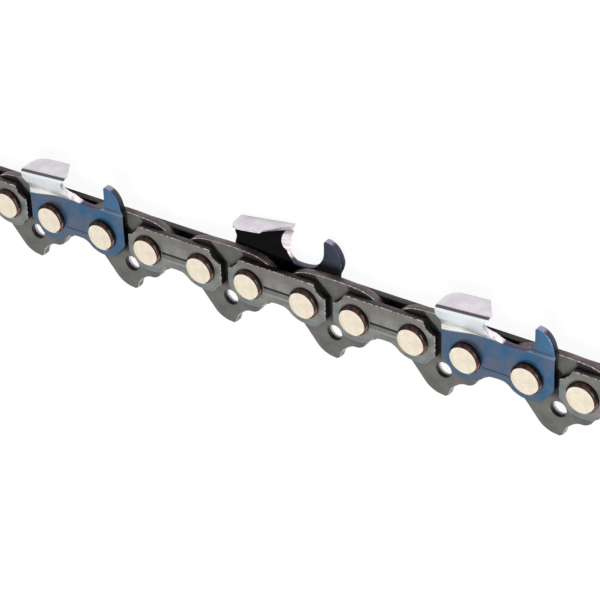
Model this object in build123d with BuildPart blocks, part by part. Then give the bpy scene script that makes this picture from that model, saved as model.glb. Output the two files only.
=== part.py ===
from build123d import *
import os
from math import cos, radians, sin, sqrt, tan

# Closed loop of saw chain, lying on its side. The rivets stand along Z, the drive links point
# inward, the cutters outward, and the upper run lies at +Y and travels towards +X.

# The loop. A half loop has two drive links for each pair, so it closes on itself for any size.
drive_link_pairs = 14
corner_joints = 4  # rivets in each of the two corners of an end
corner_bend = 15.5  # degrees at each of them
end_joints = 8  # rivets between the two corners, which share the rest of the half turn
drive_spacing = 8.71  # between the two rivets of a drive link
side_spacing = 9.93  # between the two rivets of a side link

# Sheet thicknesses, and the play between a drive link and the plates beside it
drive_thickness = 1.3
plate_thickness = 1.15
side_play = 0.07

# Rivets. What repeats this often is drawn with a few flats for each turn.
flats = 8
hub_radius = 2.1
hub_play = 0.05
head_radius = 2.49
head_height = 0.74

# Drive link
shoulder_radius = 4.4
shoulder_sweep = 10  # degrees of true arc at each end of the crest
front_flank = -60  # degrees of the front shoulder's end, and of the rear one's below
rear_flank = 225
tang_depth = 9.15
tang_tip_x = 4.7
tang_curve = 5.95  # radius of the tang's front edge
tang_sweep = 75
tang_run = 1  # from the tip to the bend in the tang's rear edge
heel_depth = 5.9
heel_reach = 1.2  # of the heel beyond the front rivet
oil_hole_radius = 1.25
oil_hole_x = 4.25
oil_hole_depth = 4.6

# Tie strap
strap_top = 3.55
strap_rear = 3.8
strap_front = 3.57
strap_end_height = 1.55
scoop_top = 1.7  # how far the top edge reaches past each rivet
scoop_corner = 2.6
scoop_rise = 0.7
scoop_shift = 0.4  # the front scoop is hollower than the rear one
lobe_radius = 3.85
lobe_start = 33  # degrees below the rivet line
lobe_end = 118
chamfer_reach = 2.75
chamfer_depth = 2.55
toe_depth = 1.7
recess_length = 4.6
recess_width = 1.2
recess_drop = 0.25
recess_depth = 0.13

# Cutter body and gullet
cutter_rear = 4.1
cutter_front = 4.1
cutter_toe = 1.1
body_top = 4.2
gullet_rear_x = 4.15
gullet_rear_height = 5.8
gullet_corner_x = 5.2

# Side plate and top plate of the cutter
corner_x = 5.0
corner_height = 9.35
corner_reach = 3.82
corner_flat = 0.35
top_inner = 1.1  # how far the top plate passes the middle of the chain
top_relief = 0.113  # drop towards the rear for each unit of length
side_relief = 0.053
top_corner_x = 1.9  # size of the round corner at the top plate's inner rear
top_corner_z = 1.4
top_bulge_x = 1.045  # where that corner's middle stands, from the square corner
top_bulge_z = 0.22
root_depth = 0.6  # how far the bent plates reach down into the body
root_inset = 0.02
root_lean = 0.4
file_radius = 2.0
file_angle = 32.5
file_drop = 0.85 * file_radius  # of the file's middle below the working corner

# Depth gauge, set outward from the body by a joggle
gauge_offset = 0.74
gauge_height = 9.05
gauge_fold = 4.5
gauge_joggle = 0.6
gauge_rear = 1.57
gauge_front = 4.57
gauge_nose = 0.2  # slant at the tip
gauge_tip = 0.8  # length of the tip's level edge
gauge_foot_x = 0.5  # size of the slants at the foot of the gauge
gauge_foot_y = 0.5
gauge_back_x = 0.9  # size of the slant behind the tip
gauge_back_y = 0.8
gauge_waist = 1.0  # height of the upright stretch of its back
gauge_waist_drop = 0.4  # of that stretch below the gullet's rear end
gauge_root = 1  # how far it reaches down into the body
joggle_lead = 0.6  # share of the joggle by which the outer face bends first

# Worked out from the sizes above
plate_inner = drive_thickness / 2 + side_play
plate_outer = plate_inner + plate_thickness
head_top = plate_outer + head_height
bore_radius = (hub_radius + hub_play) / cos(radians(180 / flats))  # of the corners between flats
joints = 4 * drive_link_pairs
end_bend = (180 - 2 * corner_joints * corner_bend) / end_joints
straight_joints = joints // 2 - 2 * corner_joints - end_joints


# The points of a round stretch about a rivet, in the flats that every round stretch shares
def round_points(centre_x, radius, start, end, centre_y=0):
    steps = max(1, round(abs(end - start) * flats / 360))
    turns = [radians(start + (end - start) * step / steps) for step in range(steps + 1)]
    return [(centre_x + radius * cos(turn), centre_y + radius * sin(turn)) for turn in turns]


# The lower edge that every plate has, from its front end to its rear end: two lobes about the
# rivets, a waist between them and a bevel outside each
def lower_edge(front_reach, rear_reach, toe):
    front = round_points(side_spacing, lobe_radius, lobe_end - 180, lobe_start - 180)
    rear = round_points(0, lobe_radius, -lobe_start, -lobe_end)
    return [
        (side_spacing + front_reach, -toe),
        (side_spacing + chamfer_reach, -chamfer_depth),
        *front,
        *rear,
        (-chamfer_reach, -chamfer_depth),
        (-rear_reach, -toe),
    ]


# Drive link, with its rear rivet at the origin: a level crest with round shoulders, and a tang
# that sweeps forward to its tip and comes back up to a heel
with BuildPart() as drive_link:
    with BuildSketch(Plane.XY.offset(-drive_thickness / 2)):
        with BuildLine():
            crest = Line((0, shoulder_radius), (drive_spacing, shoulder_radius))
            front_shoulder = CenterArc((drive_spacing, 0), shoulder_radius, 90, -shoulder_sweep)
            rear_shoulder = CenterArc((0, 0), shoulder_radius, 90, shoulder_sweep)
            front_end = round_points(
                drive_spacing, shoulder_radius, 90 - shoulder_sweep, front_flank
            )
            rear_end = round_points(0, shoulder_radius, 90 + shoulder_sweep, rear_flank)
            tang_front = round_points(
                tang_tip_x, tang_curve, 270, 270 - tang_sweep, tang_curve - tang_depth
            )
            Polyline(
                *front_end,
                (drive_spacing + heel_reach, -(shoulder_radius + heel_depth) / 2),
                (drive_spacing, -heel_depth),
                (drive_spacing - heel_reach, -heel_depth),
                (tang_tip_x + tang_run, -(tang_depth + heel_depth) / 2),
                *tang_front,
                *reversed(rear_end),
            )
        make_face()
        with Locations((0, 0), (drive_spacing, 0)):
            RegularPolygon(bore_radius, flats, mode=Mode.SUBTRACT)
        with Locations((oil_hole_x, -oil_hole_depth)):
            RegularPolygon(oil_hole_radius, flats * 3 // 4, mode=Mode.SUBTRACT)
    extrude(amount=drive_thickness)

# Near tie strap, with its recess on the outer face
with BuildPart() as strap:
    with BuildSketch(Plane.XY.offset(plate_inner)):
        with BuildLine():
            Polyline(
                (-strap_rear, strap_end_height),
                (-scoop_corner, strap_end_height + scoop_rise),
                (-scoop_top, strap_top),
                (side_spacing + scoop_top, strap_top),
                (side_spacing + scoop_corner - scoop_shift, strap_end_height + scoop_rise),
                (side_spacing + strap_front, strap_end_height),
                *lower_edge(strap_front, strap_rear, toe_depth),
                close=True,
            )
        make_face()
    extrude(amount=plate_thickness)
    with BuildSketch(Plane.XY.offset(plate_outer)):
        with Locations((side_spacing / 2, -recess_drop)):
            Rectangle(recess_length, recess_width)
    extrude(amount=-recess_depth, mode=Mode.SUBTRACT)

# Both rivets of a side link, each with a hub between the plates and a head outside each plate
with BuildPart() as rivets:
    with BuildSketch(Plane.XY.offset(-plate_outer)):
        with Locations((0, 0), (side_spacing, 0)):
            RegularPolygon(hub_radius, flats)
    extrude(amount=2 * plate_outer)
    with BuildSketch(Plane.XY.offset(plate_outer), Plane.XY.offset(-head_top)):
        with Locations((0, 0), (side_spacing, 0)):
            RegularPolygon(head_radius, flats)
    extrude(amount=head_height)

# Plain side link: two tie straps riveted together
with BuildPart() as plain_link:
    add(strap.part)
    mirror(strap.part, about=Plane.XY)
    add(rivets.part)

# Side plate and top plate of a right cutter, bent from one sheet. The section at the working
# corner runs back with a fall and a taper, then the plan, the file and the gullet shape it.
lean = (corner_reach - plate_outer) / (corner_height - corner_flat - body_top)
sheet_shift = plate_thickness / sqrt(1 + lean**2)
under_top = corner_height - plate_thickness
fold_inner_height = body_top + sheet_shift * lean
fold_inner_z = plate_outer - sheet_shift
bend_inner_z = fold_inner_z + (under_top - fold_inner_height) * lean
bevel = tan(radians(file_angle))
file_height = corner_height - file_drop
file_x = corner_x + file_radius / cos(radians(file_angle)) * sqrt(1 - (file_drop / file_radius) ** 2)
beyond = 1  # how far a cutting outline reaches past what it cuts
plate_length = corner_x + cutter_rear + beyond
run_back = Vector(-plate_length, -plate_length * top_relief, -plate_length * side_relief)
with BuildPart() as cutting_plates:
    with BuildSketch(Plane.YZ.offset(corner_x)):
        with BuildLine():
            Polyline(
                (body_top - root_depth, plate_outer - root_inset),
                (body_top, plate_outer),
                (corner_height - corner_flat, corner_reach),
                (corner_height, corner_reach - corner_flat),
                (corner_height, -top_inner),
                (under_top, -top_inner),
                (under_top, bend_inner_z),
                (fold_inner_height, fold_inner_z),
                (body_top - root_depth, fold_inner_z + root_lean),
                close=True,
            )
        make_face()
    extrude(amount=run_back.length, dir=run_back)
    with BuildSketch(Plane.XZ):
        with BuildLine():
            Polyline(
                (-cutter_rear, corner_reach + beyond),
                (-cutter_rear, top_corner_z - top_inner),
                (top_bulge_x - cutter_rear, top_bulge_z - top_inner),
                (top_corner_x - cutter_rear, -top_inner),
                (file_x - (corner_reach + top_inner) * bevel, -top_inner),
                (file_x + beyond * bevel, corner_reach + beyond),
                close=True,
            )
        make_face()
    extrude(amount=-2 * corner_height, mode=Mode.INTERSECT)
    with BuildSketch(Plane.XY.offset(plate_inner)):
        with Locations((0, gullet_rear_height / 2)):
            Rectangle(4 * plate_length, gullet_rear_height)
    extrude(amount=-corner_height, mode=Mode.SUBTRACT)

# The round file that sharpened the cutter also hollowed its front, and the gullet lies below it
with BuildPart() as file_and_gullet:
    file_line = Plane(origin=(file_x, file_height, corner_reach), z_dir=(bevel, 0, 1))
    with BuildSketch(file_line.offset(-4 * corner_reach)):
        RegularPolygon(file_radius, flats * 3 // 2)
    extrude(amount=8 * corner_reach)
    with BuildSketch(Plane.XY.offset(-2 * corner_reach)):
        with BuildLine():
            Polyline(
                (gullet_rear_x, gullet_rear_height + beyond),
                (gullet_rear_x, gullet_rear_height),
                (gullet_corner_x, body_top),
                (side_spacing + cutter_front, body_top),
                (side_spacing + cutter_front, gullet_rear_height + beyond),
                close=True,
            )
        make_face()
    extrude(amount=4 * corner_reach)

# Depth gauge, with a joggle from the body out to its own plane
waist_low = gullet_rear_height - gauge_waist_drop
with BuildPart() as depth_gauge:
    with BuildSketch(Plane.YZ.offset(side_spacing)):
        with BuildLine():
            Polyline(
                (body_top - gauge_root, plate_inner),
                (gauge_fold, plate_inner),
                (gauge_fold + gauge_joggle, plate_inner + gauge_offset),
                (gauge_height, plate_inner + gauge_offset),
                (gauge_height, plate_outer + gauge_offset),
                (gauge_fold + gauge_joggle * (1 - joggle_lead), plate_outer + gauge_offset),
                (gauge_fold - gauge_joggle * joggle_lead, plate_outer),
                (body_top - gauge_root, plate_outer),
                close=True,
            )
        make_face()
    extrude(amount=gauge_front)
    with BuildSketch():
        with BuildLine():
            Polyline(
                (side_spacing, body_top - gauge_root),
                (side_spacing, body_top),
                (side_spacing + gauge_rear - gauge_foot_x, gullet_rear_height - gauge_foot_y),
                (side_spacing + gauge_rear, gauge_height - gauge_nose),
                (side_spacing + gauge_rear + gauge_nose, gauge_height),
                (side_spacing + gauge_rear + gauge_nose + gauge_tip, gauge_height),
                (side_spacing + gauge_front - gauge_back_x, gauge_height - gauge_back_y),
                (side_spacing + gauge_front, waist_low + gauge_waist),
                (side_spacing + gauge_front, waist_low),
                (side_spacing + cutter_front, body_top),
                (side_spacing + cutter_front, body_top - gauge_root),
                close=True,
            )
        make_face()
    extrude(amount=2 * corner_reach, mode=Mode.INTERSECT)

# Right cutter: its body, the bent plates less what file and gullet took away, and the gauge
with BuildPart() as cutter:
    add(cutting_plates.part)
    add(file_and_gullet.part, mode=Mode.SUBTRACT)
    with BuildSketch(Plane.XY.offset(plate_inner)):
        with BuildLine():
            Polyline(
                (-cutter_rear, body_top),
                (gullet_corner_x, body_top),
                (side_spacing + cutter_front, body_top),
                *lower_edge(cutter_front, cutter_rear, cutter_toe),
                close=True,
            )
        make_face()
    extrude(amount=plate_thickness)
    add(depth_gauge.part)

# Right cutter side link, with its cutter on the near side and a tie strap on the far side
with BuildPart() as right_cutter_link:
    add(cutter.part)
    mirror(strap.part, about=Plane.XY)
    add(rivets.part)

# Left cutter side link, the mirror image of the right one
with BuildPart() as left_cutter_link:
    mirror(right_cutter_link.part, about=Plane.XY)


# The loop lies on the outer corners of its left cutters
rest_height = right_cutter_link.part.bounding_box().max.Z


# The bend at a joint. Each half loop has one straight run and one end with two corners, and the
# middle of the first run is the middle of the first link.
def bend_at(joint):
    past_run = (joint + straight_joints // 2 - 1) % (joints // 2) - straight_joints
    if past_run < 0:
        return 0
    in_corner = past_run < corner_joints or past_run >= corner_joints + end_joints
    return corner_bend if in_corner else end_bend


# The place of every link, from one walk along the loop. A place is a plane on the link's rear
# rivet with its X along the link, and the loop's centre is halfway between opposite rivets.
def loop_places():
    x, y, angle = 0, 0, 0
    walked = []
    for joint in range(joints):
        angle -= bend_at(joint)
        walked.append((x, y, angle))
        length = drive_spacing if joint % 2 else side_spacing
        x += length * cos(radians(angle))
        y += length * sin(radians(angle))
    opposite_x, opposite_y, _ = walked[joints // 2]
    return [
        Plane(
            origin=(x - opposite_x / 2, y - opposite_y / 2, rest_height),
            x_dir=(cos(radians(angle)), sin(radians(angle)), 0),
            z_dir=(0, 0, 1),
        )
        for x, y, angle in walked
    ]


# Side and drive links take turns, and every other side link carries a cutter, left and right
side_links = (
    ("left_cutter_link", left_cutter_link),
    ("tie_strap_link", plain_link),
    ("right_cutter_link", right_cutter_link),
    ("tie_strap_link", plain_link),
)

os.makedirs("parts", exist_ok=True)
for joint, place in enumerate(loop_places()):
    number = joint // 2 + 1
    kind, shape = ("drive_link", drive_link) if joint % 2 else side_links[(number - 1) % 4]
    with BuildPart() as link:
        add(shape.part.moved(place.location))
    link.part.label = f"{kind}_{number:02d}"
    export_step(link.part, f"parts/{link.part.label}.step")
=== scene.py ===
import math
import bpy
import bmesh
from mathutils import Matrix, Vector


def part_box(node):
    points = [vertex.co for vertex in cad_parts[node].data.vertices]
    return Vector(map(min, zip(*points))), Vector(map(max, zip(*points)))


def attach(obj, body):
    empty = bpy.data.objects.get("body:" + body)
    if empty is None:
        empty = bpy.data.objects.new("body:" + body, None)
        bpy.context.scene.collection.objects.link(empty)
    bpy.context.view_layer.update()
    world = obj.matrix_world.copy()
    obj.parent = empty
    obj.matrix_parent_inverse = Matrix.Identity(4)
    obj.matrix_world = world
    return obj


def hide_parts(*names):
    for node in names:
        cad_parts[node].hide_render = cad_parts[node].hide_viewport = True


print("loading the frame")
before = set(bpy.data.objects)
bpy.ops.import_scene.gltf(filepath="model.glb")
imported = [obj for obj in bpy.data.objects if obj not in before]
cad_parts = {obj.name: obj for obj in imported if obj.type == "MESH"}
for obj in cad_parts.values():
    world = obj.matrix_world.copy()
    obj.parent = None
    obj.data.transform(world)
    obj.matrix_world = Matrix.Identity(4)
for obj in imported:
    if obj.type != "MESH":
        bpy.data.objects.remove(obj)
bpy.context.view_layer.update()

# Every link is drawn in millimetres about its rear rivet, then set in its place in metres
mm = 0.001

chain = {
    "drivePitch": 8.71,  # between the rivets of a drive link
    "sidePitch": 9.93,
    "links": 56,
    "cornerJoints": 4,  # in each of the two corners of an end
    "cornerBend": 15.5,
    "endJoints": 8,  # between the two corners of an end
    "inner": 0.72,  # of the side plates, from the middle of the chain
    "plate": 1.15,
    "drivePlate": 1.3,
}
chain["outer"] = chain["inner"] + chain["plate"]
chain["half"] = chain["links"] // 2
chain["straightJoints"] = chain["half"] - 2 * chain["cornerJoints"] - chain["endJoints"]
chain["endBend"] = (180 - 2 * chain["cornerJoints"] * chain["cornerBend"]) / chain["endJoints"]
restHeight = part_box("drive_link_01")[0][2] / mm + chain["drivePlate"] / 2


# An outline's corner is (x, y), and a point that its curve runs smoothly through is (x, y, 1)
def traceOutline(points, steps=5):
    count = len(points)
    spots = [Vector(point[:2]) for point in points]
    smooth = [len(point) == 3 for point in points]
    traced = []
    for i in range(count):
        a, b = spots[i], spots[(i + 1) % count]
        traced.append(a)
        if not smooth[i] and not smooth[(i + 1) % count]:
            continue
        chord = b - a
        leave = (b - spots[i - 1]).normalized() * chord.length if smooth[i] else chord
        beyond = spots[(i + 2) % count]
        arrive = (beyond - a).normalized() * chord.length if smooth[(i + 1) % count] else chord
        for step in range(1, steps):
            u = step / steps
            # the cubic weights of the two ends and of the curve's directions there
            h1 = 2 * u**3 - 3 * u**2 + 1
            h2 = u**3 - 2 * u**2 + u
            h3 = -2 * u**3 + 3 * u**2
            h4 = u**3 - u**2
            traced.append(a * h1 + leave * h2 + b * h3 + arrive * h4)
    return traced


def circleOutline(x, y, radius, segments=40):
    turns = [-2 * math.pi * i / segments for i in range(segments)]
    return [Vector((x + radius * math.cos(turn), y + radius * math.sin(turn))) for turn in turns]


# The same outline moved into the material, which lies on its left
def insetOutline(points, amount):
    moved = []
    for i, point in enumerate(points):
        before = (point - points[i - 1]).normalized()
        after = (points[(i + 1) % len(points)] - point).normalized()
        normal = Vector((-before.y, before.x)) + Vector((-after.y, after.x))
        normal.normalize()
        stretch = max(0.5, normal.dot(Vector((-after.y, after.x))))
        moved.append(point + normal * amount / stretch)
    return moved


# A flat sheet with eased edges. Its first outline runs anticlockwise and its holes clockwise.
def sheetMesh(outlines, low, high, edge):
    mesh = bmesh.new()
    ease = edge * 0.3  # halfway round an eased edge
    ends = {low: [], high: []}
    for outline in outlines:
        levels = (
            (low, insetOutline(outline, edge)),
            (low + ease, insetOutline(outline, ease)),
            (low + edge, outline),
            (high - edge, outline),
            (high - ease, insetOutline(outline, ease)),
            (high, insetOutline(outline, edge)),
        )
        rings = [[mesh.verts.new((p.x, p.y, z)) for p in points] for z, points in levels]
        for lower, upper in zip(rings, rings[1:]):
            for i in range(len(outline)):
                j = (i + 1) % len(outline)
                mesh.faces.new((lower[i], lower[j], upper[j], upper[i]))
        for z, ring in ((low, rings[0]), (high, rings[-1])):
            ends[z] += [mesh.edges.get(pair) for pair in zip(ring, ring[1:] + ring[:1])]
    for edges in ends.values():
        bmesh.ops.triangle_fill(mesh, use_beauty=True, edges=edges)
    bmesh.ops.recalc_face_normals(mesh, faces=mesh.faces)
    return mesh


# Cuts every face across at the given levels along one axis, so that they can bend there
def cutAcross(mesh, axis, levels):
    normal = Vector((axis == 0, axis == 1, 0))
    for level in levels:
        everything = mesh.verts[:] + mesh.edges[:] + mesh.faces[:]
        bmesh.ops.bisect_plane(mesh, geom=everything, plane_co=normal * level, plane_no=normal)


# Edges that bend by more degrees than the crease stay sharp
sheetCrease = 32
roundCrease = 40


# A master link part, with the place of every corner kept on it for its finish
def makeMaster(name, mesh, crease=sheetCrease, places=None):
    data = bpy.data.meshes.new(name)
    mesh.normal_update()
    mesh.to_mesh(data)
    mesh.free()
    data.shade_smooth()
    data.set_sharp_from_angle(angle=math.radians(crease))
    spots = data.attributes.new("spot", "FLOAT_VECTOR", "POINT")
    for i, vertex in enumerate(data.vertices):
        spots.data[i].vector = places[i] if places else vertex.co
    master = bpy.data.objects.new(name, data)
    bpy.context.scene.collection.objects.link(master)
    return master


# The drive link
driveLink = {
    "crest": 4.4,  # radius of the ends about their rivets
    "edge": 0.13,  # how far its edges are eased
    "bore": 2.15,  # radius
    "oilHole": (4.25, -4.6, 1.25),  # x, y, radius
}


def makeDriveLink():
    crest, pitch = driveLink["crest"], chain["drivePitch"]
    slant = crest * 0.707  # halfway round the quarter circle
    outline = [
        (0, crest, 1),
        (-slant, slant, 1),
        (-crest, 0, 1),
        (-3.75, -2.3, 1),
        (-2.4, -3.75, 1),
        (-1.2, -4.8, 1),
        (0.35, -6.7, 1),
        (1.6, -8.15, 1),
        (3.0, -8.9, 1),
        (4.5, -9.13),
        (5.05, -8.75),
        (5.45, -7.6, 1),
        (6.2, -6.75, 1),
        (7.3, -6.05, 1),
        (8.5, -5.87, 1),
        (9.3, -5.4, 1),
        (10.25, -4.15, 1),
        (11.9, -2.95, 1),
        (13.0, -0.9, 1),
        (pitch + crest, 0.4, 1),
        (pitch + slant, slant, 1),
        (pitch, crest, 1),
    ]
    x, y, radius = driveLink["oilHole"]
    holes = [
        circleOutline(0, 0, driveLink["bore"]),
        circleOutline(pitch, 0, driveLink["bore"]),
        circleOutline(x, y, radius, 28),
    ]
    half = chain["drivePlate"] / 2
    mesh = sheetMesh([traceOutline(outline), *holes], -half, half, driveLink["edge"])
    return makeMaster("driveLinkMaster", mesh)


# The tie strap
tieStrap = {
    "edge": 0.11,
    "top": 3.55,
    "recess": (2.5, 7.15, -0.87, 0.37),  # left, right, bottom, top
    "recessDepth": 0.13,
    "recessWall": 0.1,  # how far its walls slope
}


# The lower edge that straps and cutters share, from the rear bevel to the front one
def lowerEdge():
    pitch = chain["sidePitch"]
    return [
        (-2.75, -2.6),
        (-2.05, -3.5, 1),
        (-0.9, -3.77, 1),
        (0.4, -3.8, 1),
        (1.5, -3.62, 1),
        (2.4, -3.1, 1),
        (3.15, -2.4, 1),
        (4.0, -2.1, 1),
        (pitch - 4.0, -2.08, 1),
        (pitch - 3.15, -2.45, 1),
        (pitch - 2.3, -3.15, 1),
        (pitch - 1.3, -3.6, 1),
        (pitch - 0.2, -3.8, 1),
        (pitch + 1.1, -3.78, 1),
        (pitch + 2.0, -3.5, 1),
        (pitch + 2.8, -2.55),
    ]


# Presses the recess into the outer face, and returns where each corner was before
def pressRecess(mesh, outer):
    left, right, bottom, top = tieStrap["recess"]
    slope = tieStrap["recessWall"] / 2
    for axis, low, high in ((0, left, right), (1, bottom, top)):
        cutAcross(mesh, axis, (low - slope, low + slope, high - slope, high + slope))
    places = [vertex.co.copy() for vertex in mesh.verts]
    for vertex, (x, y, z) in zip(mesh.verts, places):
        if z > outer - 0.001 and left < x < right and bottom < y < top:
            vertex.co.z -= tieStrap["recessDepth"]
    return places


def makeTieStrap():
    pitch, top = chain["sidePitch"], tieStrap["top"]
    outline = [
        (-1.8, top),
        (-2.3, 2.65, 1),
        (-2.95, 2.0, 1),
        (-3.8, 1.5),
        (-3.85, -1.6),
        *lowerEdge(),
        (pitch + 3.57, -1.95),
        (pitch + 3.57, 1.6),
        (pitch + 2.75, 1.85, 1),
        (pitch + 2.05, 2.45, 1),
        (pitch + 1.55, top),
    ]
    inner, outer = chain["inner"], chain["outer"]
    mesh = sheetMesh([traceOutline(outline)], inner, outer, tieStrap["edge"])
    places = pressRecess(mesh, outer)
    return makeMaster("tieStrapMaster", mesh, places=places)


# The rivet
rivet = {
    "hub": 2.1,  # radius between the plates
    "shank": 1.55,  # radius through the plates
    "head": 2.49,  # radius
    "height": 0.84,  # of a head over its plate
    "face": 2.17,  # radius of the flat face
    "segments": 56,
}


def makeRivet():
    inner, outer = chain["inner"], chain["outer"]
    head, top = rivet["head"], outer + rivet["height"]
    profile = [
        (rivet["hub"], inner - 0.01),
        (rivet["shank"], inner - 0.005),
        (rivet["shank"], outer + 0.01),
        (head - 0.12, outer + 0.012),
        (head - 0.02, outer + 0.08),
        (head, outer + 0.2),
        (head, top - 0.32),
        (head - 0.08, top - 0.18),
        (head - 0.22, top - 0.05),
        (rivet["face"], top - 0.005),
        (rivet["face"] - 0.1, top),
        (rivet["face"] - 0.9, top - 0.012),
        (rivet["face"] - 1.8, top - 0.03),
    ]
    farProfile = [(radius, -z) for radius, z in reversed(profile)]
    turns = [2 * math.pi * i / rivet["segments"] for i in range(rivet["segments"])]
    mesh = bmesh.new()
    rings = []
    for radius, z in farProfile + profile:
        ring = [(radius * math.cos(turn), radius * math.sin(turn), z) for turn in turns]
        rings.append([mesh.verts.new(place) for place in ring])
    for lower, upper in zip(rings, rings[1:]):
        for i in range(rivet["segments"]):
            j = (i + 1) % rivet["segments"]
            mesh.faces.new((lower[i], lower[j], upper[j], upper[i]))
    mesh.faces.new(reversed(rings[0]))
    mesh.faces.new(rings[-1])
    bmesh.ops.recalc_face_normals(mesh, faces=mesh.faces)
    return makeMaster("rivetMaster", mesh, roundCrease)


# The cutter: a flat blank of sheet, in x along the link and s up the sheet, that is then bent
cutter = {
    "edge": 0.1,
    "rear": 4.1,  # how far the sheet reaches past its rear rivet
    "front": 4.15,  # and past its front one
    "fold": 4.1,  # where the side plate starts to lean out
    "foldRadius": 1.2,
    "lean": 24.8,
    "sideLength": 4.065,  # flat stretch of the side plate
    "bendRadius": 0.7,  # outside of the bend at the top
    "topLength": 3.55,
    "cornerX": 5.0,
    "topRelief": 0.113,  # how far the top plate falls towards the rear, for each millimetre
    "sideRelief": 0.053,  # how far the side plate runs inward in the same way
    "reliefOver": 3.0,  # of the sheet above the fold, over which both come in
    "fileRadius": 2.0,
    "fileZ": 3.82,  # where the file's axis leaves the side plate
    "thinFrom": 10.1,  # up the sheet: the top plate thins from here
    "thinOver": 3.2,
    "thinShare": 0.72,  # of the thickness, lost at the inner edge
    "gaugeFrom": 7.0,  # along the link: all ahead of it is depth gauge
    "joggleOver": 2.1,
    "gaugeOut": 0.72,
    "joggleSteps": 10,
    "bendSteps": 12,
    "topSteps": 6,
    "sideLevels": (6.6, 7.0, 7.4, 7.8, 8.2),  # where the side plate can follow the file
    "cornerLine": 9.45,  # up the sheet, where the side plate has bent over into the top plate
}
# The lengths of sheet in the fold and in the bend, and where the bend and the top plate lie on it
cutter["foldLength"] = math.radians(cutter["lean"]) * cutter["foldRadius"]
cutter["bendLength"] = math.radians(90 + cutter["lean"]) * cutter["bendRadius"]
cutter["bendStart"] = cutter["fold"] + cutter["foldLength"] + cutter["sideLength"]
cutter["bendEnd"] = cutter["bendStart"] + cutter["bendLength"]
cutter["inner"] = cutter["bendEnd"] + cutter["topLength"]

# The two hands were ground differently: the file's slant and place, the gullet's shift, and
# the front of the top plate at its outer corner and at its inner one
rightGrind = {"angle": 30.0, "x": 6.1, "y": 7.1, "gullet": -0.5, "corner": 4.9, "toe": 2.5}
leftGrind = {"angle": 41.0, "x": 7.8, "y": 7.65, "gullet": 0.6, "corner": 5.3, "toe": 3.8}


# Where a point s up the sheet's outer face stands, and the way the sheet heads there
def sectionAt(s):
    y, z, heading = 0.0, chain["outer"], 0.0
    stretches = (
        (cutter["fold"], 0),
        (cutter["foldLength"], -cutter["foldRadius"]),
        (cutter["sideLength"], 0),
        (cutter["bendLength"], cutter["bendRadius"]),
        (cutter["topLength"] + 1, 0),
    )
    if s < 0:
        return s, z, 0.0
    for length, radius in stretches:
        part = min(s, length)
        if radius:
            turn = part / radius
            # a turn towards the chain's middle has a positive radius
            y += radius * (math.sin(turn - heading) + math.sin(heading))
            z += radius * (math.cos(turn - heading) - math.cos(heading))
            heading -= turn
        else:
            y += part * math.cos(heading)
            z += part * math.sin(heading)
        s -= part
        if s <= 0:
            break
    return y, z, heading


# 0 up to the given start and 1 from its end on
def riseFrom(start, length, s):
    return min(1, max(0, (s - start) / length))


# The same with a gentle start and end
def easeFrom(start, length, s):
    rise = riseFrom(start, length, s)
    return rise * rise * (3 - 2 * rise)


def bendPoint(x, s, depth, grind):
    y, z, heading = sectionAt(s)
    # the top plate is thinner towards its inner edge
    depth *= 1 - cutter["thinShare"] * riseFrom(cutter["thinFrom"], cutter["thinOver"], s)
    # the sheet's thickness, from its outer face inward
    y += depth * math.sin(heading)
    z -= depth * math.cos(heading)
    behind = (cutter["cornerX"] - x) * easeFrom(cutter["fold"], cutter["reliefOver"], s)
    y -= behind * cutter["topRelief"]
    z -= behind * cutter["sideRelief"]
    # the round file leaves nothing of the sheet inside its own cylinder
    up = (y - grind["y"]) / cutter["fileRadius"]
    if abs(up) < 1:
        slant = math.radians(grind["angle"])
        middle = grind["x"] - (cutter["fileZ"] - z) * math.tan(slant)
        edge = middle - cutter["fileRadius"] / math.cos(slant) * math.sqrt(1 - up * up)
        x = min(x, edge)
    return Vector((x, y, z))


def joggle(x, s, depth):
    out = cutter["gaugeOut"] * easeFrom(cutter["fold"], cutter["joggleOver"], s)
    return Vector((x, s, chain["outer"] - depth + out))


def evenLevels(start, length, steps):
    return [start + length * i / steps for i in range(steps + 1)]


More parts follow.
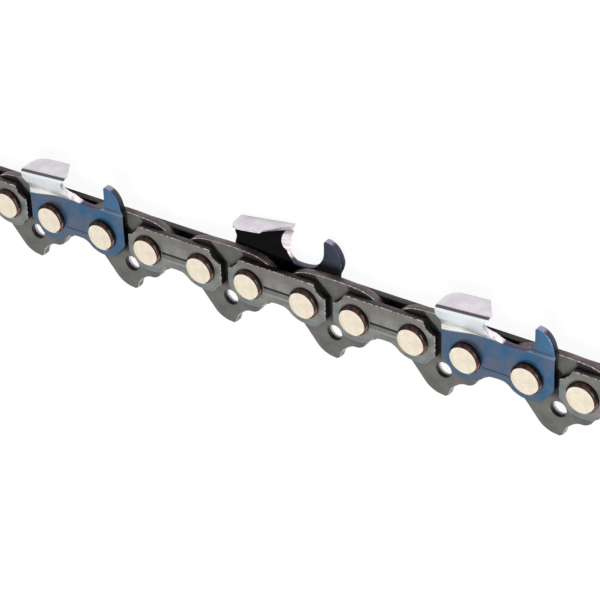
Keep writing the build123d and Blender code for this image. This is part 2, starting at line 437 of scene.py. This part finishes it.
def makeCutter(name, grind):
    pitch, rear, fold = chain["sidePitch"], -cutter["rear"], cutter["fold"]
    bendStart, bendEnd, inner = cutter["bendStart"], cutter["bendEnd"], cutter["inner"]
    gullet = grind["gullet"]
    outline = [
        (rear, -1.2),
        *lowerEdge(),
        (pitch + 3.75, -1.45),
        (pitch + cutter["front"], -0.7),
        (pitch + cutter["front"], fold, 1),
        (pitch + 4.45, 5.2, 1),
        (pitch + 4.4, 6.3, 1),
        (pitch + 3.95, 7.6, 1),
        (pitch + 3.2, 8.55, 1),
        (pitch + 2.3, 9.04, 1),
        (pitch + 1.6, 9.12),
        (pitch + 1.38, 8.85),
        (pitch + 1.38, 7.7, 1),
        (pitch + 1.3, 6.6, 1),
        (pitch + 1.0, 5.7, 1),
        (pitch + 0.5, 4.95, 1),
        (pitch - 0.2, 4.45, 1),
        (pitch - 1.7, 4.15, 1),
        (pitch - 3.4, 4.15, 1),
        (5.4 + gullet, 4.4, 1),
        (4.6 + gullet, 4.95, 1),
        (4.2 + gullet, 5.7, 1),
        (4.2 + gullet, 6.6, 1),
        (4.9 + gullet * 0.6, 7.6, 1),
        (grind["corner"] - 0.6, 8.4),
        (grind["corner"] - 0.45, bendStart),
        (grind["corner"], bendEnd),
        (grind["toe"], inner),
        (rear + 1.9, inner, 1),
        (rear + 0.8, inner - 0.4, 1),
        (rear + 0.05, inner - 1.4, 1),
        (rear - 0.05, inner - 2.4, 1),
        (rear - 0.1, bendEnd, 1),
        (rear - 0.3, bendStart, 1),
        (rear - 0.5, 7.8, 1),
        (rear - 0.38, 6.9, 1),
        (rear - 0.05, 6.1, 1),
        (rear + 0.05, 5.2, 1),
        (rear, 4.2, 1),
    ]
    mesh = sheetMesh([traceOutline(outline)], 0, chain["plate"], cutter["edge"])
    levels = evenLevels(fold, cutter["joggleOver"], cutter["joggleSteps"])
    levels += cutter["sideLevels"]
    levels += evenLevels(bendStart, cutter["bendLength"], cutter["bendSteps"])
    levels += evenLevels(bendEnd, cutter["topLength"], cutter["topSteps"])[1:-1]
    cutAcross(mesh, 1, levels)
    places = []
    for vertex in mesh.verts:
        x, s, height = vertex.co
        depth = chain["plate"] - height
        places.append((x, s, height))
        isGauge = x >= cutter["gaugeFrom"]
        vertex.co = joggle(x, s, depth) if isGauge else bendPoint(x, s, depth, grind)
    bmesh.ops.recalc_face_normals(mesh, faces=mesh.faces)
    return makeMaster(name, mesh, roundCrease, places)


# One walk along the loop gives each link's rear rivet and the way the link points
def walkLoop():
    x, y, turn = 0.0, 0.0, 0.0
    walked = []
    corner, end = chain["cornerJoints"], chain["endJoints"]
    straight = chain["straightJoints"]
    for joint in range(chain["links"]):
        # counted from the first joint that turns, so below 0 on a straight run
        step = (joint + straight // 2 - 1) % chain["half"] - straight
        if step >= 0:
            inEnd = corner <= step < corner + end
            turn -= math.radians(chain["endBend"] if inEnd else chain["cornerBend"])
        walked.append((x, y, turn))
        length = chain["drivePitch"] if joint % 2 else chain["sidePitch"]
        x += length * math.cos(turn)
        y += length * math.sin(turn)
    midX, midY = walked[chain["half"]][0] / 2, walked[chain["half"]][1] / 2
    return [(Vector((x - midX, y - midY, restHeight)) * mm, turn) for x, y, turn in walked]


# Gives a socket a value, or a link from another socket or from a sum
def feed(tree, socket, value):
    if isinstance(value, Sum):
        value = value.socket
    if isinstance(value, bpy.types.NodeSocket):
        tree.links.new(value, socket)
    else:
        socket.default_value = value


# Any node: its type, its settings, and the values or links of its sockets
def makeNode(tree, kind, settings=None, **sockets):
    made = tree.nodes.new(kind)
    for key, value in (settings or {}).items():
        setattr(made, key, value)
    for key, value in sockets.items():
        feed(tree, made.inputs[key.replace("_", " ")], value)
    return made


# Puts copies of a master along a link, one at each rivet, and sets them in the loop
def makePlacer():
    tree = bpy.data.node_groups.new("linkPlacer", "GeometryNodeTree")
    kinds = {
        "Master": "Object",
        "Copies": "Int",
        "Spacing": "Float",
        "Turned": "Float",
        "Scale": "Float",
        "Place": "Vector",
        "Finish": "Material",
    }
    for name, kind in kinds.items():
        tree.interface.new_socket(name, in_out="INPUT", socket_type=f"NodeSocket{kind}")
    tree.interface.new_socket("Geometry", in_out="OUTPUT", socket_type="NodeSocketGeometry")
    given = makeNode(tree, "NodeGroupInput").outputs
    master = makeNode(tree, "GeometryNodeObjectInfo", Object=given["Master"])
    step = makeNode(tree, "ShaderNodeCombineXYZ", X=given["Spacing"])
    line = makeNode(tree, "GeometryNodeMeshLine", Count=given["Copies"], Offset=step.outputs[0])
    copies = makeNode(
        tree,
        "GeometryNodeInstanceOnPoints",
        Points=line.outputs["Mesh"],
        Instance=master.outputs["Geometry"],
    )
    turn = makeNode(tree, "ShaderNodeCombineXYZ", Z=given["Turned"])
    placed = makeNode(
        tree,
        "GeometryNodeTransform",
        Geometry=copies.outputs["Instances"],
        Translation=given["Place"],
        Rotation=turn.outputs[0],
        Scale=given["Scale"],
    )
    whole = makeNode(tree, "GeometryNodeRealizeInstances", Geometry=placed.outputs["Geometry"])
    finished = makeNode(
        tree,
        "GeometryNodeSetMaterial",
        Geometry=whole.outputs["Geometry"],
        Material=given["Finish"],
    )
    makeNode(tree, "NodeGroupOutput", Geometry=finished.outputs["Geometry"])
    return tree


def placePiece(name, tree, master, place, turn, finish, copies):
    piece = bpy.data.objects.new(name, bpy.data.meshes.new(name))
    bpy.context.scene.collection.objects.link(piece)
    modifier = piece.modifiers.new("place", "NODES")
    modifier.node_group = tree
    values = {
        "Master": master,
        "Copies": copies,
        "Spacing": chain["sidePitch"],
        "Turned": turn,
        "Scale": mm,
        "Place": place,
        "Finish": finish,
    }
    for item in tree.interface.items_tree:
        if item.in_out == "INPUT":
            modifier[item.identifier] = values[item.name]
    evaluated = piece.evaluated_get(bpy.context.evaluated_depsgraph_get())
    data = bpy.data.meshes.new_from_object(evaluated)
    piece.modifiers.clear()
    piece.data = data
    return piece


# The same part as it lies on the far side of the chain
def mirroredMaster(master, name):
    data = master.data.copy()
    data.transform(Matrix.Scale(-1, 4, (0, 0, 1)))
    data.flip_normals()
    other = bpy.data.objects.new(name, data)
    bpy.context.scene.collection.objects.link(other)
    return other


# Maths on shader sockets, written as plain sums
class Sum:
    def __init__(self, tree, socket):
        self.tree = tree
        self.socket = socket

    def maths(self, operation, *values):
        node = makeNode(self.tree, "ShaderNodeMath", {"operation": operation})
        for socket, value in zip(node.inputs, values):
            feed(self.tree, socket, value)
        return Sum(self.tree, node.outputs[0])

    def __add__(self, other):
        return self.maths("ADD", self, other)

    def __radd__(self, other):
        return self.maths("ADD", other, self)

    def __sub__(self, other):
        return self.maths("SUBTRACT", self, other)

    def __rsub__(self, other):
        return self.maths("SUBTRACT", other, self)

    def __mul__(self, other):
        return self.maths("MULTIPLY", self, other)

    def __rmul__(self, other):
        return self.maths("MULTIPLY", other, self)

    def atLeast(self, low):
        return self.maths("MAXIMUM", self, low)

    def root(self):
        return self.maths("SQRT", self)

    def wave(self):
        return self.maths("SINE", self)

    # 0 below the first value and 1 above the second, with a soft step between
    def ramp(self, low, high):
        settings = {"interpolation_type": "SMOOTHSTEP"}
        sockets = {"Value": self, "From_Min": low, "From_Max": high}
        node = makeNode(self.tree, "ShaderNodeMapRange", settings, **sockets)
        return Sum(self.tree, node.outputs["Result"])

    # 1 between a soft step up and a soft step down
    def band(self, low, lowFull, highFull, high):
        return self.ramp(low, lowFull) * (1 - self.ramp(highFull, high))


# A material for one kind of part
class Finish:
    def __init__(self, name, metallic):
        self.material = bpy.data.materials.new(name)
        self.material.use_nodes = True
        self.tree = self.material.node_tree
        self.shader = self.tree.nodes["Principled BSDF"]
        self.shader.inputs["Metallic"].default_value = metallic

    def node(self, kind, settings=None, **sockets):
        return makeNode(self.tree, kind, settings, **sockets)

    # The place on its own link part in millimetres, which for a cutter is that on its flat blank
    def spot(self):
        read = self.node("ShaderNodeAttribute", {"attribute_name": "spot"})
        split = self.node("ShaderNodeSeparateXYZ", Vector=read.outputs["Vector"])
        return read.outputs["Vector"], *(Sum(self.tree, split.outputs[i]) for i in range(3))

    def noise(self, vector, scale, detail=3, stretch=(1, 1, 1)):
        placed = self.node("ShaderNodeMapping", Vector=vector, Scale=stretch)
        cloud = self.node("ShaderNodeTexNoise", Vector=placed.outputs[0], Scale=scale, Detail=detail)
        return Sum(self.tree, cloud.outputs["Fac"])

    # Sockets 6 and 7 and output 2 are the ones for colours
    def blend(self, factor, first, second):
        mix = self.node("ShaderNodeMix", {"data_type": "RGBA"}, Factor=factor)
        feed(self.tree, mix.inputs[6], first)
        feed(self.tree, mix.inputs[7], second)
        return mix.outputs[2]

    def paint(self, colour, roughness):
        feed(self.tree, self.shader.inputs["Base Color"], colour)
        feed(self.tree, self.shader.inputs["Roughness"], roughness)

    def bump(self, height, strength, distance):
        made = self.node("ShaderNodeBump", Height=height, Strength=strength, Distance=distance)
        feed(self.tree, self.shader.inputs["Normal"], made.outputs["Normal"])


# A colour from its tones in a picture, which are brighter than the shader's by this power
gamma = 2.2


def tone(red, green, blue):
    return (*((channel / 255) ** gamma for channel in (red, green, blue)), 1)


def strapFinish():
    finish = Finish("tieStrapSteel", 0.35)
    vector, x, y, z = finish.spot()
    cloud = finish.noise(vector, 0.6)
    grain = finish.noise(vector, 9, 2)
    face = finish.blend(cloud.ramp(0.35, 0.65), tone(96, 99, 97), tone(116, 113, 109))
    face = finish.blend(y.ramp(1.6, 3.2) * 0.7, face, tone(98, 93, 89))
    tint = 1 - y.ramp(-3.7, -2.4) * x.ramp(-3.8, -2.2)
    face = finish.blend(tint * 0.55, face, tone(76, 98, 102))
    # the recess: a dull floor, with painted shade under its upper wall and a painted highlight on
    # its pale lower wall
    left, right, bottom, top = tieStrap["recess"]
    inside = x.band(left - 0.06, left + 0.06, right - 0.06, right + 0.06)
    floor = inside * y.band(bottom - 0.08, bottom + 0.04, top - 0.04, top + 0.08)
    face = finish.blend(floor * 0.45, face, tone(80, 88, 88))
    upperWallShade = inside * y.band(top - 0.46, top - 0.36, top + 0.02, top + 0.08)
    face = finish.blend(upperWallShade, face, tone(22, 16, 18))
    lowerWallHighlight = inside * y.band(bottom - 0.16, bottom - 0.06, bottom + 0.06, bottom + 0.16)
    face = finish.blend(lowerWallHighlight * 0.7, face, tone(150, 152, 148))
    # the sheet's edges: dark brown above, deepened as painted shade, and black at the ends as
    # painted shade, with a speckled pale line painted on the eased edge as its highlight
    ends = 1 - x.band(-3.78, -3.6, 13.3, 13.45)
    wall = finish.blend(cloud.ramp(0.35, 0.75), tone(14, 10, 12), tone(46, 36, 38))
    wall = finish.blend(ends, wall, tone(8, 8, 9))
    glintSpeckle = finish.noise(vector, 3.5, 3)
    rimHighlight = finish.blend(glintSpeckle.ramp(0.46, 0.6), tone(70, 60, 62), tone(206, 194, 192))
    # lower down, the eased edge's painted highlight is pale grey
    rimHighlight = finish.blend(1 - y.ramp(-2.6, -1.6), rimHighlight, tone(158, 162, 158))
    outer, eased = chain["outer"], chain["outer"] - tieStrap["edge"]
    colour = finish.blend(z.ramp(eased, eased + 0.04), wall, rimHighlight)
    colour = finish.blend(z.ramp(outer - 0.04, outer - 0.005), colour, face)
    finish.paint(colour, cloud * 0.12 + 0.34)
    finish.bump(grain * 0.05, 0.6, 0.00012)
    return finish.material


# A painted shadow darkens the face beside the end of the side link behind it, from the given x over
# a width
def driveFinish(name, endX, width):
    finish = Finish(name, 0.35)
    vector, x, y, z = finish.spot()
    cloud = finish.noise(vector, 0.5)
    grain = finish.noise(vector, 8, 2)
    face = finish.blend(cloud.ramp(0.35, 0.65), tone(78, 79, 76), tone(90, 89, 85))
    # above 1.6 that end slants away to the rear
    slant = (y - 1.6).atLeast(0.0) * 1.04
    behind = y.ramp(-3.4, -1.8) * (1 - (x + slant).ramp(endX + width * 0.5, endX + width))
    face = finish.blend(behind * 0.92, face, tone(16, 14, 15))
    # painted shade also darkens the crest, over the side link ahead
    crestShade = y.ramp(3.1, 3.5) * x.ramp(6.6, 7.1)
    face = finish.blend(crestShade * 0.92, face, tone(16, 13, 14))
    wall = finish.blend(cloud.ramp(0.3, 0.7), tone(62, 50, 52), tone(96, 80, 82))
    wall = finish.blend(1 - y.ramp(-5.0, -2.0), wall, tone(64, 58, 64))
    # a speckled pale line painted on the eased edge as its highlight
    glintSpeckle = finish.noise(vector, 3.0, 3)
    rimHighlight = finish.blend(glintSpeckle.ramp(0.48, 0.6), tone(128, 116, 116), tone(190, 178, 176))
    holeX, holeY, holeRadius = driveLink["oilHole"]
    fromHole = (x - holeX) * (x - holeX) + (y - holeY) * (y - holeY)
    byHole = 1 - fromHole.ramp((holeRadius + 0.2) ** 2, (holeRadius + 0.35) ** 2)
    # the oil hole's wall is painted dark on its upper half as shade and pale on its lower half as a
    # highlight, with a dark edge in place of the painted highlight
    bore = finish.blend(z.ramp(-0.35, -0.05), tone(226, 226, 228), tone(40, 36, 44))
    wall = finish.blend(byHole, wall, bore)
    rimHighlight = finish.blend(byHole, rimHighlight, tone(62, 58, 60))
    # the square of z serves both sides of the sheet alike
    colour = finish.blend((z * z).ramp(0.28, 0.32), wall, rimHighlight)
    colour = finish.blend((z * z).ramp(0.385, 0.415), colour, face)
    finish.paint(colour, cloud * 0.12 + 0.34)
    finish.bump(grain, 0.1, 0.0001)
    return finish.material


def rivetFinish():
    finish = Finish("rivetSteel", 0.6)
    vector, x, y, z = finish.spot()
    reach = (x * x + y * y).root()
    cloud = finish.noise(vector, 0.9)
    face = finish.blend(cloud.ramp(0.3, 0.7), tone(226, 216, 197), tone(214, 202, 182))
    # the side wall: near black as a painted dark reflection, with red-brown streaks, pale streaks as
    # painted highlights, and black as painted shade next to the plate
    streaks = finish.noise(vector, 0.62, 3, (1, 1, 0.2))
    wall = finish.blend(streaks.ramp(0.5, 0.64), tone(18, 13, 12), tone(66, 38, 34))
    wall = finish.blend(streaks.ramp(0.66, 0.74), wall, tone(132, 104, 98))
    wall = finish.blend((z * z).ramp(5.0, 6.0), tone(10, 8, 8), wall)
    # a dark reflection is painted along the face's upper edge, outside a circle that sits a little
    # lower
    aside = (x + 0.18) * (x + 0.18) + (y + 0.41) * (y + 0.41)
    face = finish.blend(aside.ramp(5.1, 5.4), face, wall)
    # the wall is pale below, where it catches the light
    wall = finish.blend((x * 0.6 + y * 0.8).ramp(-1.5, -0.7), tone(226, 212, 190), wall)
    colour = finish.blend(reach.ramp(rivet["face"] + 0.01, rivet["face"] + 0.05), face, wall)
    finish.paint(colour, 0.32)
    # faint turned rings
    finish.bump((reach * 34.0).wave(), 0.08, 0.00002)
    return finish.material


def cutterFinish():
    finish = Finish("cutterSteel", 0.8)
    # height is 0 on the sheet's inner face
    vector, x, s, height = finish.spot()
    cloud = finish.noise(vector, 0.45)
    grain = finish.noise(vector, 7, 2)
    # the heat's blue on the body, with hints of purple and tan
    blue = finish.blend(cloud.ramp(0.35, 0.62), tone(62, 98, 132), tone(88, 102, 122))
    blue = finish.blend(cloud.ramp(0.58, 0.75) * 0.5, blue, tone(112, 100, 112))
    blue = finish.blend(x.ramp(10.5, 12.5) * s.ramp(3.5, 5.5), blue, tone(72, 108, 142))
    # a pale highlight painted along the gauge's fold
    foldHighlight = x.ramp(9.4, 10.0) * s.band(4.15, 4.5, 4.9, 5.5)
    blue = finish.blend(foldHighlight * 0.75, blue, tone(128, 152, 178))
    streaks = finish.noise(vector, 1.2, 3, (0.25, 3.0, 1))
    low = finish.blend(streaks.ramp(0.46, 0.66), tone(244, 242, 236), tone(176, 172, 164))
    chrome = finish.blend(s.ramp(5.0, 6.2), low, tone(238, 245, 250))
    topPlate = finish.blend(cloud.ramp(0.3, 0.7), tone(179, 173, 179), tone(194, 188, 195))
    # a dark line painted as the shade of a shallow groove, which the mesh doesn't have
    grooveShade = x.band(2.4, 2.8, 6.9, 7.3) * s.band(-1.06, -0.96, -0.84, -0.7)
    blue = finish.blend(grooveShade * 0.8, blue, tone(38, 52, 92))
    # chrome on the side plate, lower towards the rear, and on the top plate past a dark line of
    # painted shade along the bend
    isFlap = 1 - x.ramp(6.0, 6.4)
    rearDrop = (1 - x.ramp(-5, 3)) * 1.1
    onFlap = isFlap * (s + rearDrop).ramp(4.3, 4.55)
    corner = cutter["cornerLine"]
    onTop = isFlap * s.ramp(corner, corner + 0.1)
    outer = finish.blend(onFlap, blue, chrome)
    outer = finish.blend(onTop, outer, topPlate)
    line = isFlap * s.band(corner - 0.3, corner - 0.18, corner + 0.16, corner + 0.28)
    outer = finish.blend(line * 0.9, outer, tone(56, 46, 50))
    # the inner face is painted near black as shade, lighter on the upper gauge
    inner = finish.blend(x.ramp(7, 9) * s.ramp(5.0, 6.4), tone(6, 6, 7), tone(60, 66, 78))
    # the sheet's walls: filed bright under the top plate, dark on the gullet, and on the gauge
    # painted darker downwards as shade with a painted highlight at its tip
    scratches = finish.noise(vector, 1.6, 3, (0.3, 5.0, 0.3))
    filed = finish.blend(scratches.ramp(0.42, 0.62), tone(238, 234, 237), tone(206, 190, 198))
    gauge = finish.blend(s.ramp(5.5, 8.6), tone(28, 30, 40), tone(58, 57, 72))
    gauge = finish.blend(s.ramp(8.7, 9.0) * 0.5, gauge, tone(170, 162, 190))
    body = finish.blend(x.ramp(9.5, 10.5), tone(64, 58, 80), gauge)
    edges = finish.blend(x.ramp(5.4, 6.0), filed, body)
    # the front end, below the gauge's fold, is painted near black as shade
    edges = finish.blend(x.ramp(13.6, 13.9) * (1 - s.ramp(4.0, 4.8)), edges, tone(14, 14, 18))
    plate = chain["plate"]
    colour = finish.blend(height.ramp(0.02, 0.1), inner, edges)
    colour = finish.blend(height.ramp(plate - 0.09, plate - 0.02), colour, outer)
    finish.paint(colour, cloud * 0.1 + 0.24)
    finish.bump(grain, 0.06, 0.0001)
    return finish.material


print("making the link parts")
masters = {
    "drive": makeDriveLink(),
    "strap": makeTieStrap(),
    "rivet": makeRivet(),
    "cutter": makeCutter("cutterMaster", rightGrind),
    "leftCutter": makeCutter("leftCutterMaster", leftGrind),
}
masters["farStrap"] = mirroredMaster(masters["strap"], "farStrapMaster")
masters["farCutter"] = mirroredMaster(masters["leftCutter"], "farCutterMaster")
finishes = {
    "strap": strapFinish(),
    # the drive links' painted shadow beside the side link behind them is wider behind a cutter
    "drive": driveFinish("driveLinkSteel", 3.57, 0.55),
    "driveShadowByCutter": driveFinish("driveLinkSteelShadowByCutter", 4.15, 0.9),
    "rivet": rivetFinish(),
    "cutter": cutterFinish(),
}

print("placing the links")
placer = makePlacer()
sideKinds = ("left_cutter_link", "tie_strap_link", "right_cutter_link", "tie_strap_link")
for joint, (place, turn) in enumerate(walkLoop()):
    number = joint // 2 + 1
    # each part is its piece's name, its master, its finish and how many there are
    if joint % 2:
        node = f"drive_link_{number:02d}"
        finish = "driveShadowByCutter" if sideKinds[(number - 1) % 4].startswith("right") else "drive"
        parts = (("driveLink", "drive", finish, 1),)
    else:
        kind = sideKinds[(number - 1) % 4]
        node = f"{kind}_{number:02d}"
        near, far = ("nearStrap", "strap", "strap", 1), ("farStrap", "farStrap", "strap", 1)
        if kind.startswith("right"):
            near = ("nearCutter", "cutter", "cutter", 1)
        if kind.startswith("left"):
            far = ("farCutter", "farCutter", "cutter", 1)
        parts = (near, far, ("rivets", "rivet", "rivet", 2))
    for name, master, finish, copies in parts:
        name = f"{name}{number:02d}"
        piece = placePiece(name, placer, masters[master], place, turn, finishes[finish], copies)
        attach(piece, node)
        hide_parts(node)
for master in masters.values():
    bpy.data.objects.remove(master)

# The studio
studio = {
    "floorSize": 6.0,
    "floorColour": (0.85, 0.85, 0.85, 1),
    "floorRoughness": 0.9,
    "floorWhite": 0.94,  # of what the camera sees of the floor, the rest being its shading
    "keyPlace": (0.35, 0.05, 0.8),
    "keyTarget": (0, 0.05, 0),
    "keySize": 0.5,
    "keyPower": 9.0,
    "worldStrength": 0.75,
}
# Where the photograph's perspective puts the camera: in millimetres along the run from the
# loop's middle, out from the run and up from the rivets' faces, with its picture's directions
photo = {
    "lens": 147.1,
    "sensor": 36,
    "place": (177.29, 196.91, 244.19),
    "faces": 2.61,  # of the CAD's rivets above the chain's middle: here they stand 0.1 higher
    "right": (0.8298, -0.0372, -0.5568),
    "up": (-0.28, 0.8353, -0.4731),
    "back": (0.4827, 0.5485, 0.6827),
}


# White to the camera but for a share of its shading, which keeps the chain's shadow
def floorFinish():
    finish = Finish("paleFloor", 0.0)
    finish.paint(studio["floorColour"], studio["floorRoughness"])
    rays = finish.node("ShaderNodeLightPath")
    white = Sum(finish.tree, rays.outputs["Is Camera Ray"]) * studio["floorWhite"]
    glow = finish.node("ShaderNodeEmission", Strength=1.0)
    mix = finish.node("ShaderNodeMixShader", Fac=white)
    feed(finish.tree, mix.inputs[1], finish.shader.outputs[0])
    feed(finish.tree, mix.inputs[2], glow.outputs[0])
    feed(finish.tree, finish.tree.nodes["Material Output"].inputs["Surface"], mix.outputs[0])
    return finish.material


def makeFloor():
    data = bpy.data.meshes.new("floor")
    half = studio["floorSize"] / 2
    corners = [(-half, -half, 0), (half, -half, 0), (half, half, 0), (-half, half, 0)]
    data.from_pydata(corners, [], [(0, 1, 2, 3)])
    data.materials.append(floorFinish())
    floor = bpy.data.objects.new("floor", data)
    bpy.context.scene.collection.objects.link(floor)


def makeKeyLight():
    data = bpy.data.lights.new("keyLight", "AREA")
    data.shape = "DISK"
    data.size = studio["keySize"]
    data.energy = studio["keyPower"]
    light = bpy.data.objects.new("keyLight", data)
    place, target = Vector(studio["keyPlace"]), Vector(studio["keyTarget"])
    light.location = place
    light.rotation_euler = (target - place).to_track_quat("-Z", "Y").to_euler()
    bpy.context.scene.collection.objects.link(light)


def makeWorld():
    world = bpy.data.worlds.new("studio")
    world.use_nodes = True
    backdrop = world.node_tree.nodes["Background"]
    backdrop.inputs["Color"].default_value = (1, 1, 1, 1)
    backdrop.inputs["Strength"].default_value = studio["worldStrength"]
    bpy.context.scene.world = world


def makeCamera():
    data = bpy.data.cameras.new("camera")
    data.lens = photo["lens"]
    data.sensor_width = photo["sensor"]
    camera = bpy.data.objects.new("camera", data)
    run = walkLoop()[0][0].y / mm
    place = Vector(photo["place"]) + Vector((0, run, restHeight + photo["faces"]))
    turned = Matrix((photo["right"], photo["up"], photo["back"])).transposed()
    camera.matrix_world = Matrix.Translation(place * mm) @ turned.to_4x4()
    bpy.context.scene.collection.objects.link(camera)
    bpy.context.scene.camera = camera


print("setting up the studio")
makeFloor()
makeWorld()
makeKeyLight()
makeCamera()
bpy.context.scene.view_settings.view_transform = "Standard"
